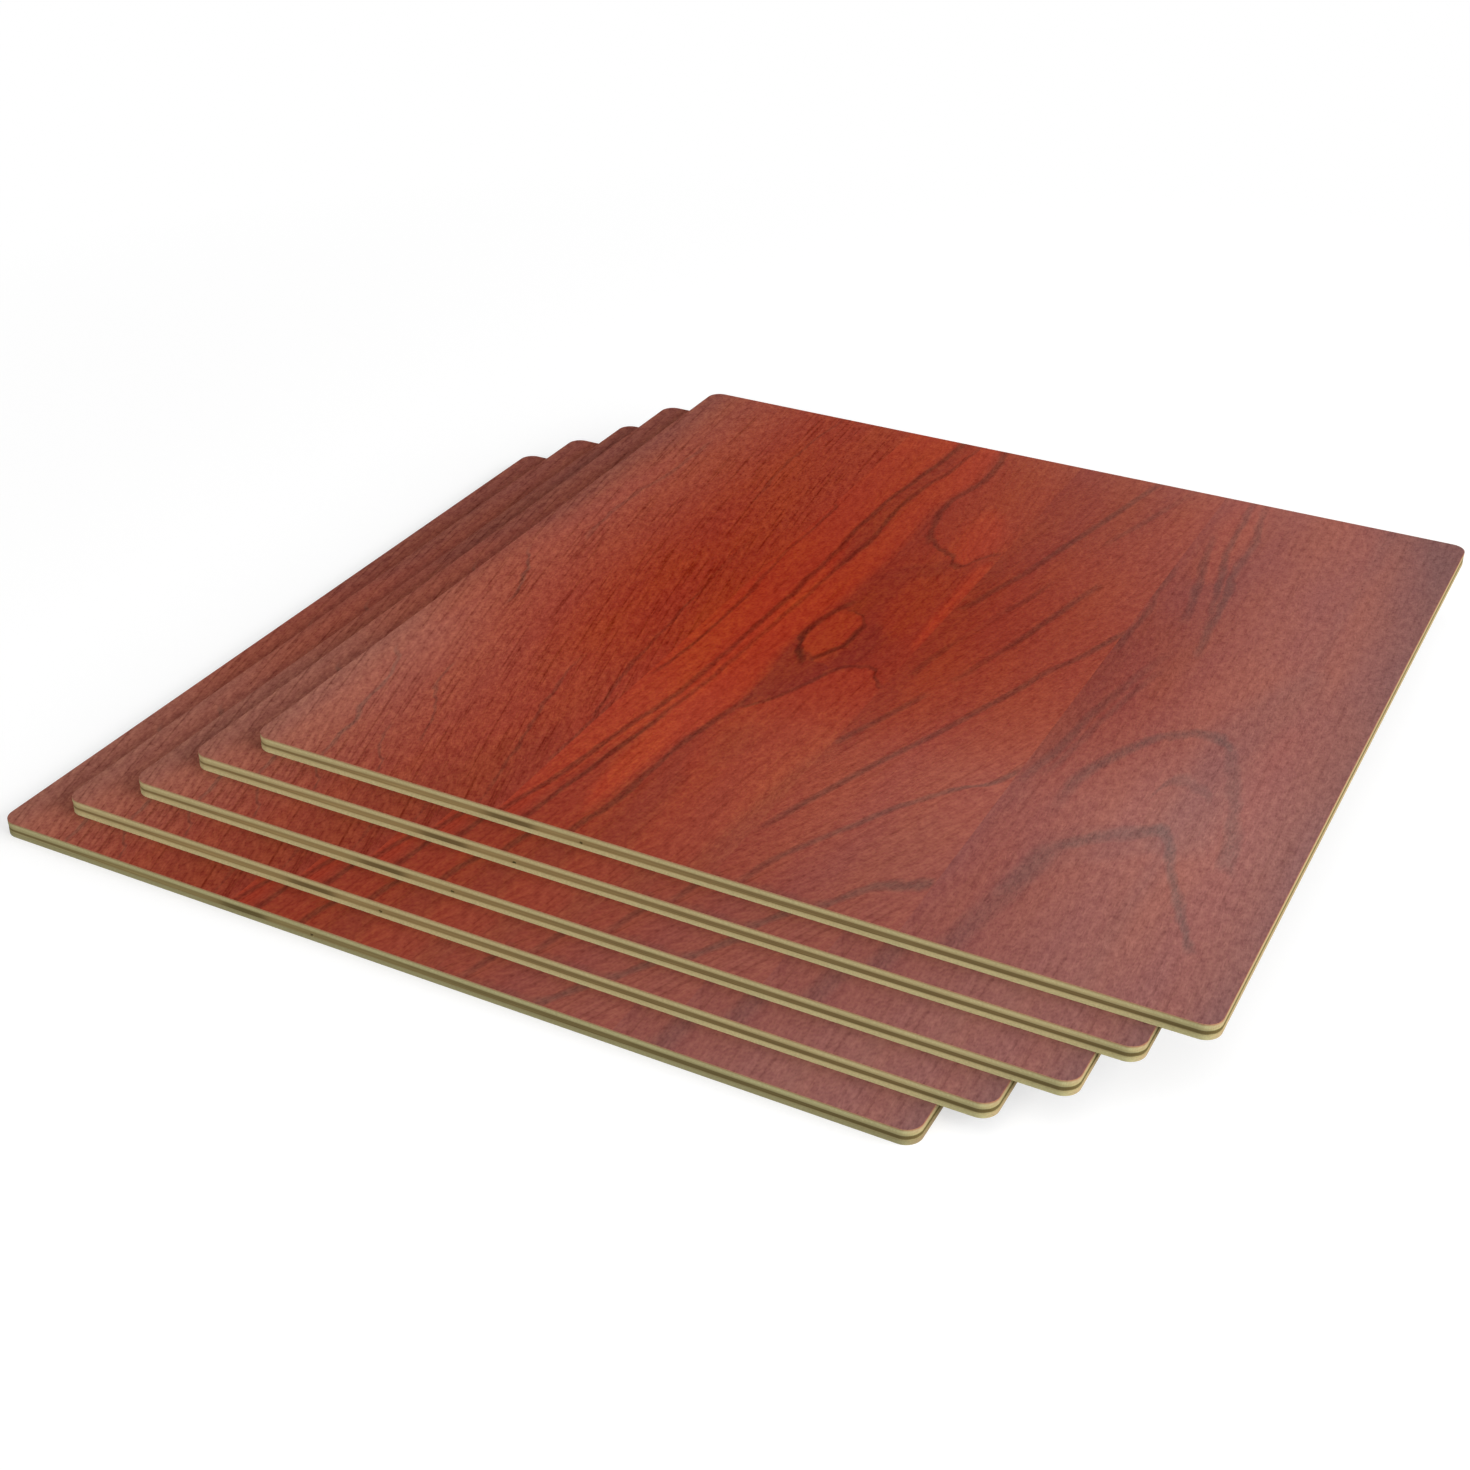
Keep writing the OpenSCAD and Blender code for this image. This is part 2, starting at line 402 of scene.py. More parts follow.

# Edge of a sheet: how far the painted shade on a side fades in, the glue stain beside the
# core and the stain that runs over the rim of a face, with heights above the sheet's underside
SIDE_FADE_MM = 3
CORE_MIDDLE_MM = 2.5
GLUE_REACH_MM = 1.35
GLUE_FADE_MM = 0.45
GLUE_SHARE = 0.55
RUN_START_MM = 4.35
RUN_SPAN_MM = 0.65
RUN_SHARE = 0.7

# Height of the brown streak in the core, and how softly it ends
STREAK_MIDDLE_MM = 2.36
STREAK_FADE_MM = 0.4

# Colour of the floor in the light that it throws back on the stack
FLOOR_BOUNCE = (0.02, 0.02, 0.02, 1)

# Soft boxes: middle, turn, size and brightness of each, and whether the lacquer mirrors it
SOFT_BOXES = {
    "overhead": ((0.2, -0.3, 1.4), (0, 0, 0), (2.4, 2.4), 0.80, True),
    "right": ((1.9, 0.25, 0.95), (0, 90, 0), (1.1, 2.4), 7.7, True),
    "front": ((0.0, -2.0, 0.3), (90, 0, 0), (2.4, 0.5), 4.9, True),
    "rear_fill": ((0.0, 2.0, 0.7), (-90, 0, 0), (2.4, 0.6), 2.1, False),
    "left_fill": ((-1.9, 0.0, 0.35), (0, -90, 0), (0.5, 2.4), 1.8, False),
    "right_fill": ((1.9, 0.0, 0.13), (0, 90, 0), (0.24, 2.4), 8.0, False),
}


class Term:
    """A value in a shader: arithmetic on it adds Math nodes to its tree."""

    def __init__(self, graph, socket):
        self.graph = graph
        self.socket = socket

    def __add__(self, other):
        return self.graph.math("ADD", self, other)

    def __radd__(self, other):
        return self.graph.math("ADD", other, self)

    def __sub__(self, other):
        return self.graph.math("SUBTRACT", self, other)

    def __rsub__(self, other):
        return self.graph.math("SUBTRACT", other, self)

    def __mul__(self, other):
        return self.graph.math("MULTIPLY", self, other)

    def __rmul__(self, other):
        return self.graph.math("MULTIPLY", other, self)

    def __truediv__(self, other):
        return self.graph.math("DIVIDE", self, other)

    def __neg__(self):
        return self.graph.math("MULTIPLY", self, -1.0)

    def __abs__(self):
        return self.graph.math("ABSOLUTE", self)

    def clamped(self):
        """The value held between 0 and 1."""
        return self.graph.add("ShaderNodeClamp", sockets={"Value": self})

    def exp(self):
        """e to the power of the value."""
        return self.graph.math("EXPONENT", self)

    def times(self, factor, plus):
        """The value times a factor, plus another."""
        return self.graph.math("MULTIPLY_ADD", self, factor, plus)

    def rise(self, width):
        """A rise from 0 to 1 across a width around zero."""
        settings = {"operation": "MULTIPLY_ADD", "use_clamp": True}
        return self.graph.add("ShaderNodeMath", settings, {0: self, 1: 1 / width, 2: 0.5})

    def at_most(self, other):
        """The lesser of two values."""
        return self.graph.math("MINIMUM", self, other)

    def at_least(self, other):
        """The greater of two values."""
        return self.graph.math("MAXIMUM", self, other)


class Graph:
    """The node tree of a material or world."""

    def __init__(self, owner):
        owner.use_nodes = True
        self.owner = owner
        self.tree = owner.node_tree
        self.tree.nodes.clear()

    def add(self, kind, settings=None, sockets=None, out=None):
        """Adds a node, sets its settings, then its sockets' values or links.

        The outputs named in out are returned, or the first one that is in use.
        """
        node = self.tree.nodes.new(kind)
        for key, value in (settings or {}).items():
            if key == "stops":
                set_stops(node.color_ramp, value)
            elif key == "curves":
                set_curves(node.mapping, value)
            else:
                setattr(node, key, value)
        for key, value in (sockets or {}).items():
            if isinstance(value, Term):
                self.tree.links.new(value.socket, node.inputs[key])
            else:
                node.inputs[key].default_value = value
        if out is not None:
            return [Term(self, node.outputs[name]) for name in out]
        shown = [socket for socket in node.outputs if socket.enabled]
        return Term(self, shown[0]) if shown else None

    def math(self, operation, *values):
        """A Math node on terms and numbers."""
        return self.add("ShaderNodeMath", {"operation": operation}, dict(enumerate(values)))

    def mix(self, factor, first, second, blend="MIX"):
        """A blend of two colours."""
        settings = {"data_type": "RGBA", "blend_type": blend, "clamp_factor": False}
        return self.add("ShaderNodeMix", settings, {0: factor, 6: first, 7: second})

    def sheet_place(self):
        """A point's place on its sheet in millimetres: the vector and its three parts."""
        settings = {"attribute_name": "sheet_place"}
        place = self.add("ShaderNodeAttribute", settings, out=["Vector"])[0]
        return place, self.add("ShaderNodeSeparateXYZ", None, {"Vector": place}, "XYZ")

    def noise(self, place, size, detail, roughness, shift, space="3D"):
        """Noise from 0 to 1 whose features measure size (x, y, z) in millimetres."""
        spread = self.add("ShaderNodeVectorMath", {"operation": "DIVIDE"}, {0: place, 1: size})
        moved = self.add("ShaderNodeVectorMath", {"operation": "ADD"}, {0: spread, 1: [shift] * 3})
        return self.add("ShaderNodeTexNoise", {"noise_dimensions": space}, {
            "Vector": moved, "Scale": 1.0, "Detail": detail, "Roughness": roughness,
        })

    def traced(self, share, points):
        """Smooth curves through points: their further values, at a share of the sheet's span."""
        values = range(1, len(points[0]))
        curves = [[(span_share(p[0]), p[k]) for p in points] for k in values]
        colour = self.add("ShaderNodeRGBCurve", {"curves": curves}, {"Color": share})
        names = ["Red", "Green", "Blue"][:len(curves)]
        return self.add("ShaderNodeSeparateColor", None, {"Color": colour}, names)

    def bump(self, height, depth):
        """Normals of a surface whose height from 0 to 1 stands for a depth in millimetres."""
        return self.add("ShaderNodeBump", None, {
            "Strength": 1.0, "Distance": depth * MM, "Height": height})

    def finish(self, sockets):
        """Closes a material with a principled surface."""
        surface = self.add("ShaderNodeBsdfPrincipled", None, sockets)
        self.add("ShaderNodeOutputMaterial", None, {"Surface": surface})
        return self.owner


def span_share(place):
    """A place on a sheet in millimetres, as a share of the sheet's span."""
    return place / (2 * HALF_SHEET_MM) + 0.5


def set_stops(ramp, stops):
    """Gives a colour ramp its stops: (position, colour)."""
    while len(ramp.elements) < len(stops):
        ramp.elements.new(1.0)
    for element, (position, colour) in zip(ramp.elements, stops):
        element.position = position
        element.color = (*colour, 1.0)


def set_curves(mapping, curves):
    """Gives a curve mapping the points of its first curves, held level past their ends."""
    mapping.use_clip = False
    mapping.extend = "HORIZONTAL"
    for curve, points in zip(mapping.curves, curves):
        while len(curve.points) < len(points):
            curve.points.new(0.5, 0.5)
        for point, place in zip(curve.points, points):
            point.location = place
            point.handle_type = "AUTO_CLAMPED"
    mapping.update()


class SheetSettings(bpy.types.PropertyGroup):
    """Sizes of the veneers that the solids leave out."""

    corner_radius: FloatProperty(
        name="Corner radius", description="Radius of a sheet's corners, seen from above",
        default=5 * MM, min=0.0, unit="LENGTH")
    corner_segments: IntProperty(
        name="Corner segments", description="Facets of each rounded corner", default=12, min=1)
    arris: FloatProperty(
        name="Arris", description="Width of the eased rim of a sheet", default=0.1 * MM,
        min=0.0, unit="LENGTH")
    core_recess: FloatProperty(
        name="Core recess", description="How far the core ply's edge lies back",
        default=0.05 * MM, min=0.0, unit="LENGTH")
    pit_place: FloatVectorProperty(
        name="Pit place", description="Middle of the pit in the front edge of the core: from the "
        "sheet's centre to the right, and above its underside",
        default=(-34.6 * MM, 2.05 * MM), size=2, unit="LENGTH")
    pit_size: FloatVectorProperty(
        name="Pit size", description="Width, height and depth of that pit",
        default=(1.3 * MM, 0.85 * MM, 0.9 * MM), size=3, unit="LENGTH")


class FinishSettings(bpy.types.PropertyGroup):
    """Colours and gloss of the stained faces and the bare veneers."""

    line_colour: FloatVectorProperty(
        name="Line stain", description="Stain in the darkest growth lines", subtype="COLOR",
        default=(0.07, 0.012, 0.010))
    dark_colour: FloatVectorProperty(
        name="Dark stain", description="Stain in the dark zones", subtype="COLOR",
        default=(0.17, 0.0185, 0.0135))
    base_colour: FloatVectorProperty(
        name="Stain", description="Stain over most of a face", subtype="COLOR",
        default=(0.28, 0.031, 0.011))
    bright_colour: FloatVectorProperty(
        name="Bright stain", description="Stain in the bright bands", subtype="COLOR",
        default=(0.38, 0.037, 0.0105))
    glow_colour: FloatVectorProperty(
        name="Glow stain", description="Stain in the brightest flecks", subtype="COLOR",
        default=(0.48, 0.054, 0.012))
    gloss_roughness: FloatProperty(
        name="Lacquer roughness", description="Roughness of the satin lacquer", default=0.5,
        min=0.0, max=1.0, subtype="FACTOR")
    gloss_level: FloatProperty(
        name="Lacquer gloss", description="How strongly the lacquer mirrors, 0.5 for plain glass",
        default=0.1, min=0.0, max=1.0, subtype="FACTOR")
    # Colour of the painted sheen, a pale highlight painted into the colour of the stained faces
    painted_sheen_colour: FloatVectorProperty(
        name="Painted sheen", description="Colour of the pale bloom on the lacquer", subtype="COLOR",
        default=(1.0, 0.98, 0.95))
    veneer_colour: FloatVectorProperty(
        name="Veneer", description="Bare outer veneer", subtype="COLOR",
        default=(0.65, 0.60, 0.305))
    veneer_dark_colour: FloatVectorProperty(
        name="Veneer grain", description="Darker grain of the outer veneers", subtype="COLOR",
        default=(0.475, 0.415, 0.195))
    # Painted shade, with a shift of hue, on the left and right edges against the strong right light
    side_painted_shade: FloatVectorProperty(
        name="Side painted shade", description="Tint of the outer veneers' left and right edges",
        subtype="COLOR", default=(0.80, 0.65, 0.70))
    # Painted contact shade on the lowest back ply, darker next to the floor
    foot_painted_shade: FloatVectorProperty(
        name="Foot painted shade", description="Tint of the lowest back ply, which is darker by the floor",
        subtype="COLOR", default=(0.72, 0.71, 0.70))
    core_colour: FloatVectorProperty(
        name="Core", description="Core veneer where it is light", subtype="COLOR",
        default=(0.40, 0.30, 0.118))
    core_dark_colour: FloatVectorProperty(
        name="Core streak", description="Core veneer in its dark streaks", subtype="COLOR",
        default=(0.13, 0.092, 0.026))


class StageSettings(bpy.types.PropertyGroup):
    """Floor, light and camera."""

    floor_radius: FloatProperty(
        name="Floor radius", description="Radius of the round floor", default=4.0, unit="LENGTH")
    floor_lift: FloatProperty(
        name="Floor lift", description="Plain white that the camera sees on the floor round the "
        "stack, besides the light that falls there", default=0.6, min=0.0, max=1.0)
    floor_paint: FloatProperty(
        name="Floor paint", description="Share of the light on the floor round the stack that the "
        "camera sees", default=0.48, min=0.0, max=1.0, subtype="FACTOR")
    lift_start: FloatProperty(
        name="Lift start", description="Distance from the stack's middle where the floor starts to "
        "turn plain white", default=0.25, unit="LENGTH")
    lift_end: FloatProperty(
        name="Lift end", description="Distance from the stack's middle where the floor is plain "
        "white", default=0.6, unit="LENGTH")
    light_level: FloatProperty(
        name="Light level", description="Level of all soft boxes", default=0.98, min=0.0)
    room_level: FloatProperty(
        name="Room light", description="Level of the light from all round", default=0.015, min=0.0)
    camera_place: FloatVectorProperty(
        name="Camera place", description="Where the camera stands",
        default=(0.26636, -0.55875, 0.37264), size=3, unit="LENGTH")
    camera_turn: FloatProperty(
        name="Camera turn", description="Turn of the view to the left of straight ahead",
        default=math.radians(27.7587), subtype="ANGLE")
    camera_drop: FloatProperty(
        name="Camera drop", description="Angle of the view below the horizon",
        default=math.radians(31.4929), subtype="ANGLE")
    camera_lens: FloatProperty(
        name="Lens", description="Focal length on a 36 mm sensor, in millimetres", default=53.488)
    camera_shift: FloatVectorProperty(
        name="Shift", description="Shift of the lens, as shares of the frame",
        default=(0.01318, -0.0046), size=2)


def sheet_middle(number):
    """Centre of a sheet's underside, in the stack's frame."""
    low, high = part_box(f"sheet_{number}_back_ply")
    return Vector(((low.x + high.x) / 2, (low.y + high.y) / 2, low.z))


def veneer_slab(low, high, sizes, inset=0.0):
    """A sheet of veneer between two corners of its box, with rounded corners."""
    mesh = bmesh.new()
    bmesh.ops.create_grid(mesh, x_segments=1, y_segments=1, size=0.5)
    spread = Vector((high.x - low.x - 2 * inset, high.y - low.y - 2 * inset, 1.0))
    bmesh.ops.scale(mesh, vec=spread, verts=mesh.verts)
    bmesh.ops.translate(
        mesh, vec=((low.x + high.x) / 2, (low.y + high.y) / 2, low.z), verts=mesh.verts)
    bmesh.ops.bevel(
        mesh, geom=mesh.verts[:], affect="VERTICES", offset_type="OFFSET",
        offset=sizes.corner_radius - inset, segments=sizes.corner_segments, profile=0.5,
        material=-1)
    raised = bmesh.ops.extrude_face_region(mesh, geom=mesh.faces[:])["geom"]
    corners = [part for part in raised if isinstance(part, bmesh.types.BMVert)]
    bmesh.ops.translate(mesh, vec=(0, 0, high.z - low.z), verts=corners)
    bmesh.ops.recalc_face_normals(mesh, faces=mesh.faces[:])
    return mesh


def ease_rim(mesh, height, sizes):
    """Eases the rim of a slab at a height."""
    rim = [edge for edge in mesh.edges
           if all(abs(corner.co.z - height) < RIM_TOLERANCE for corner in edge.verts)]
    bmesh.ops.bevel(
        mesh, geom=rim, affect="EDGES", offset_type="OFFSET", offset=sizes.arris,
        segments=RIM_SEGMENTS, profile=0.5, material=-1)


def split_leaves(mesh, middle):
    """Cuts the top of a face ply at the seams and gives each leaf a material of its own."""
    top = max(mesh.faces, key=lambda face: face.calc_center_median().z)
    parts = [top, *top.edges, *top.verts]
    for seam in LEAF_SEAMS_MM:
        parts = bmesh.ops.bisect_plane(
            mesh, geom=parts, plane_co=(middle.x + seam * MM, 0, 0), plane_no=(1, 0, 0))["geom"]
    leaves = [part for part in parts if isinstance(part, bmesh.types.BMFace)]
    leaves.sort(key=lambda face: face.calc_center_median().x)
    for k, leaf in enumerate(leaves):
        leaf.material_index = 1 + k


def cut_pit(mesh, middle, sizes):
    """Sinks a small pit into the front edge of a core ply."""
    front = min(mesh.faces, key=lambda face: face.calc_center_median().y)
    width, height, depth = sizes.pit_size
    across = middle.x + sizes.pit_place[0]
    up = middle.z + sizes.pit_place[1]
    parts = [front, *front.edges, *front.verts]
    cuts = (
        ((across - width / 2, 0, 0), (1, 0, 0)), ((across + width / 2, 0, 0), (1, 0, 0)),
        ((0, 0, up - height / 2), (0, 0, 1)), ((0, 0, up + height / 2), (0, 0, 1)),
    )
    for place, normal in cuts:
        parts = bmesh.ops.bisect_plane(mesh, geom=parts, plane_co=place, plane_no=normal)["geom"]
    near = Vector((across, front.calc_center_median().y, up))
    faces = [part for part in parts if isinstance(part, bmesh.types.BMFace)]
    mouth = min(faces, key=lambda face: (face.calc_center_median() - near).length)
    bmesh.ops.inset_individual(mesh, faces=[mouth], thickness=PIT_LIP * height)
    floor = bmesh.ops.extrude_discrete_faces(mesh, faces=[mouth])["faces"][0]
    bmesh.ops.translate(mesh, vec=(0, depth, 0), verts=floor.verts)
    bmesh.ops.remove_doubles(mesh, verts=mesh.verts[:], dist=MERGE_DISTANCE)


def finish_piece(mesh, name, materials, number, node):
    """Turns a slab into an object that stands for a node of the frame."""
    middle = sheet_middle(number)
    place = mesh.verts.layers.float_vector.new("sheet_place")
    for corner in mesh.verts:
        corner[place] = (corner.co - middle) / MM
    data = bpy.data.meshes.new(name)
    mesh.to_mesh(data)
    mesh.free()
    for material in materials:
        data.materials.append(material)
    piece = bpy.data.objects.new(name, data)
    bpy.context.scene.collection.objects.link(piece)
    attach(piece, "root")
    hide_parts(node)


def leaf_figure(graph, leaf, x, y):
    """A leaf's drawn figure: the tone of its zones and the darkness of its growth lines."""
    x_share, y_share = span_share(x), span_share(y)
    tone = leaf["tone"]
    for change, margin, points in leaf["zones"].values():
        left, right = graph.traced(y_share, points)
        tone = (x - left).at_most(right - x).rise(margin).times(change, tone)
    dark = 0.0
    for lines, across, share in ((leaf["along"], x, y_share), (leaf["across"], y, x_share)):
        for half_width, points in lines.values():
            middle, depth = graph.traced(share, points)
            off = across - middle
            dark = (depth * (off * off).times(-1 / half_width ** 2, 1.0)).at_least(dark)
    return tone, leaf["depth"] * dark


def painted_sheen_level(graph, x, y):
    """Level of the painted sheen across and along a face, and the change of tone along it."""
    front, middle, rear = graph.traced(span_share(x), PAINTED_SHEEN)
    front_share, rear_share, change = graph.traced(span_share(y), PAINTED_SHEEN_ALONG)
    level = middle + front_share * (front - middle) + rear_share * (rear - middle)
    patch_x, patch_y, reach_x, reach_y, patch_level = PAINTED_SHEEN_PATCH
    off_x, off_y = (x - patch_x) / reach_x, (y - patch_y) / reach_y
    return level + patch_level * (-(off_x * off_x) - off_y * off_y).exp(), change


def stained_leaf(name, leaf, finish):
    """Red-brown stained grain of one leaf under a satin lacquer, with a painted sheen in its
    colour.
    """
    graph = Graph(bpy.data.materials.new(name))
    place, (x, y, _) = graph.sheet_place()
    slope, curve = leaf["lean"]
    leaning = graph.add("ShaderNodeCombineXYZ", None, {"X": x + y * (slope + curve * y), "Y": y})
    turned = graph.add("ShaderNodeCombineXYZ", None, {"X": x + 0.6 * y, "Y": y - 0.6 * x})
    drift = graph.noise(place, *NOISE["drift"], "2D") - 0.5
    clouds = graph.noise(place, *NOISE["clouds"], "2D") - 0.5
    mottle = graph.noise(leaning, *NOISE["mottle"], "2D") - 0.5
    streaks = graph.noise(leaning, *NOISE["streaks"], "2D") - 0.5
    fine = graph.noise(leaning, *NOISE["fine"], "2D")
    peel = graph.noise(turned, *NOISE["peel"], "2D") - 0.5
    waver_x, waver_y = FIGURE_WAVER_MM
    tone, lines = leaf_figure(graph, leaf, x + waver_x * drift, y + waver_y * drift)
    # Level of the painted sheen, a pale highlight painted into the face's colour, and the change of
    # tone
    painted_sheen, change = painted_sheen_level(graph, x, y)
    stain = graph.add("ShaderNodeValToRGB", {"stops": (
        (0.0, finish.line_colour), (0.25, finish.dark_colour), (0.5, finish.base_colour),
        (0.75, finish.bright_colour), (1.0, finish.glow_colour),
    )}, {"Fac": tone + change + 0.12 * clouds})
    tint = graph.mix(
        (1.6 * clouds + 1.5 * mottle + 1.5 * peel + (leaf["orange"] + 0.5)).clamped(),
        COOL_TINT, WARM_TINT)
    flecks = ((fine - FLECK_START) / FLECK_SPAN).clamped()
    veins = (-(streaks + VEIN_START) / VEIN_SPAN).clamped()
    grain = leaf["streak"] * (STREAK_SHARE * streaks - VEIN_SHARE * veins)
    marks = MOTTLE_SHARE * mottle + grain + PEEL_SHARE * peel - FLECK_SHARE * flecks
    texture = leaf["grain"] * marks
    shade = (1 - lines * (0.55 + 0.8 * fine)) * (1 + texture)
    stained = graph.mix(1.0, graph.mix(1.0, stain, tint, "MULTIPLY"), shade, "MULTIPLY")
    # Painted sheen: a pale highlight added to the colour, with painted sparkle that follows the
    # texture
    pale = [a * b for a, b in zip(finish.painted_sheen_colour, leaf["painted_sheen"])]
    level = painted_sheen + (1.2 * painted_sheen + 0.022) * texture
    return graph.finish({
        "Base Color": graph.mix(level, stained, (*pale, 1), "ADD"),
        "Roughness": finish.gloss_roughness + 0.12 * (fine - 0.5),
        "Specular IOR Level": finish.gloss_level,
        "Normal": graph.bump(fine, STAIN_BUMP_MM),
    })


def bare_veneer(name, finish, tint=(1.0, 1.0, 1.0)):
    """Bare outer veneer with its grain along Y, so that its front edge shows end grain."""
    graph = Graph(bpy.data.materials.new(name))
    place, (x, _, z) = graph.sheet_place()
    fibres = graph.noise(place, *NOISE["fibres"])
    patches = graph.noise(place, *NOISE["patches"])
    shade = (1.7 * fibres + 0.8 * patches - 0.75).clamped()
    bare = graph.mix(shade, (*finish.veneer_dark_colour, 1), (*finish.veneer_colour, 1))
    # Painted shade, with a shift of hue, fades in on the left and right edges
    side = ((abs(x) - HALF_SHEET_MM) / SIDE_FADE_MM + 1).clamped()
    bare = graph.mix(side, bare, (*finish.side_painted_shade, 1), "MULTIPLY")
    glue = GLUE_SHARE * ((GLUE_REACH_MM - abs(z - CORE_MIDDLE_MM)) / GLUE_FADE_MM).clamped()
    bare = graph.mix(glue, bare, (*finish.core_colour, 1))
    run = RUN_SHARE * ((z - RUN_START_MM) / RUN_SPAN_MM).clamped()
    colour = graph.mix(run, bare, (*finish.base_colour, 1))
    # A tint multiplies the colour; for the lowest back ply it is painted shade by the floor
    colour = graph.mix(1.0, colour, (*tint, 1), "MULTIPLY")
    return graph.finish({
        "Base Color": colour, "Roughness": VENEER_ROUGHNESS,
        "Normal": graph.bump(fibres, VENEER_BUMP_MM)})


def core_veneer(name, finish):
    """Bare core veneer with its grain along X, streaked along the front edge."""
    graph = Graph(bpy.data.materials.new(name))
    place, (x, _, z) = graph.sheet_place()
    light, half = graph.traced(span_share(x), CORE_STREAK)
    fibres = graph.noise(place, *NOISE["core_fibres"])
    shade = (light + 1.1 * (fibres - 0.5)).clamped()
    brown = graph.mix(shade, (*finish.core_dark_colour, 1), (*finish.core_colour, 1))
    depth = (half - abs(z - STREAK_MIDDLE_MM)) / STREAK_FADE_MM
    inside = (depth + 0.7 + 1.2 * (fibres - 0.5)).clamped()
    colour = graph.mix(inside, (*finish.veneer_dark_colour, 1), brown)
    return graph.finish({
        "Base Color": colour, "Roughness": CORE_ROUGHNESS,
        "Normal": graph.bump(fibres, VENEER_BUMP_MM)})


def floor_white(stage):
    """Pale floor that keeps the stack's shadow and turns plain white away from the stack."""
    graph = Graph(bpy.data.materials.new("floor_white"))
    place = graph.add("ShaderNodeTexCoord", out=["Object"])[0]
    reach = graph.add(
        "ShaderNodeVectorMath", {"operation": "LENGTH"}, {0: place}, out=["Value"])[0]
    far = ((reach - stage.lift_start) / (stage.lift_end - stage.lift_start)).clamped()
    seen = graph.add("ShaderNodeLightPath", out=["Is Camera Ray"])[0]
    bounce = graph.add("ShaderNodeBsdfDiffuse", None, {"Color": FLOOR_BOUNCE})
    paint = graph.add("ShaderNodeBsdfDiffuse", None, {"Color": (*[stage.floor_paint] * 3, 1)})
    lift = graph.add("ShaderNodeEmission", None, {"Color": WHITE, "Strength": stage.floor_lift})
    near = graph.add("ShaderNodeAddShader", None, {0: paint, 1: lift})
    white = graph.add("ShaderNodeEmission", None, {"Color": WHITE, "Strength": 1.0})
    lifted = graph.add("ShaderNodeMixShader", None, {0: far, 1: near, 2: white})
    surface = graph.add("ShaderNodeMixShader", None, {0: seen, 1: bounce, 2: lifted})
    graph.add("ShaderNodeOutputMaterial", None, {"Surface": surface})
    return graph.owner


class PLYWOOD_OT_back_plies(bpy.types.Operator):
    """Make the back ply of each sheet"""

    bl_idname = "plywood.back_plies"
    bl_label = "Back plies"

    def execute(self, context):
        sizes, finish = context.scene.plywood_sheet, context.scene.plywood_finish
        upper = bare_veneer("back_veneer", finish)
        # The lowest back ply gets painted shade by the floor
        lowest = bare_veneer("foot_shaded_veneer", finish, finish.foot_painted_shade)
        for number in SHEETS:
            node = f"sheet_{number}_back_ply"
            low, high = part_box(node)
            mesh = veneer_slab(low, high, sizes)
            ease_rim(mesh, low.z, sizes)
            veneer = lowest if number == SHEETS[0] else upper
            finish_piece(mesh, f"back_veneer_{number}", [veneer], number, node)
        return {"FINISHED"}


class PLYWOOD_OT_core_plies(bpy.types.Operator):
    """Make the core ply of each sheet, with the pit in its front edge"""

    bl_idname = "plywood.core_plies"
    bl_label = "Core plies"

    def execute(self, context):
        sizes, finish = context.scene.plywood_sheet, context.scene.plywood_finish
        veneer = core_veneer("core_veneer", finish)
        for number in SHEETS:
            node = f"sheet_{number}_core_ply"
            low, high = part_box(node)
            mesh = veneer_slab(low, high, sizes, sizes.core_recess)
            cut_pit(mesh, sheet_middle(number), sizes)
            finish_piece(mesh, f"core_veneer_{number}", [veneer], number, node)
        return {"FINISHED"}


class PLYWOOD_OT_face_plies(bpy.types.Operator):
    """Make the face ply of each sheet, stained on top and bare at its edge"""

    bl_idname = "plywood.face_plies"
    bl_label = "Face plies"

    def execute(self, context):
        sizes, finish = context.scene.plywood_sheet, context.scene.plywood_finish
        veneers = [bare_veneer("face_veneer", finish)]
        veneers += [stained_leaf(name, leaf, finish) for name, leaf in LEAVES.items()]
        for number in SHEETS:
            node = f"sheet_{number}_face_ply"
            low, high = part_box(node)
            mesh = veneer_slab(low, high, sizes)
            ease_rim(mesh, high.z, sizes)
            split_leaves(mesh, sheet_middle(number))
            finish_piece(mesh, f"face_veneer_{number}", veneers, number, node)
        return {"FINISHED"}


class PLYWOOD_OT_stage(bpy.types.Operator):
    """Make the floor, the light and the camera"""

    bl_idname = "plywood.stage"
    bl_label = "Stage"

    def execute(self, context):
        stage = context.scene.plywood_stage
        make_floor(stage)
        for name, (place, turn, size, brightness, mirrored) in SOFT_BOXES.items():
            make_soft_box(name, place, turn, size, brightness * stage.light_level, mirrored)
        make_world(stage.room_level)
        make_camera(stage)
        context.scene.view_settings.view_transform = "Standard"
        return {"FINISHED"}


def make_floor(stage):
    """A plain round floor."""
    mesh = bmesh.new()
    bmesh.ops.create_circle(mesh, cap_ends=True, segments=96, radius=stage.floor_radius)
    data = bpy.data.meshes.new("floor")
    mesh.to_mesh(data)
    mesh.free()
    data.materials.append(floor_white(stage))
    floor = bpy.data.objects.new("floor", data)
    bpy.context.scene.collection.objects.link(floor)


def make_soft_box(name, place, turn, size, brightness, mirrored):
    """A rectangular soft box that shines down before it is turned by degrees."""
    data = bpy.data.lights.new(name, "AREA")
    data.shape = "RECTANGLE"
    data.size, data.size_y = size
    data.energy = math.pi * size[0] * size[1] * brightness
    light = bpy.data.objects.new(name, data)
    light.location = place
    light.rotation_euler = [math.radians(angle) for angle in turn]
    light.visible_glossy = mirrored
    bpy.context.scene.collection.objects.link(light)


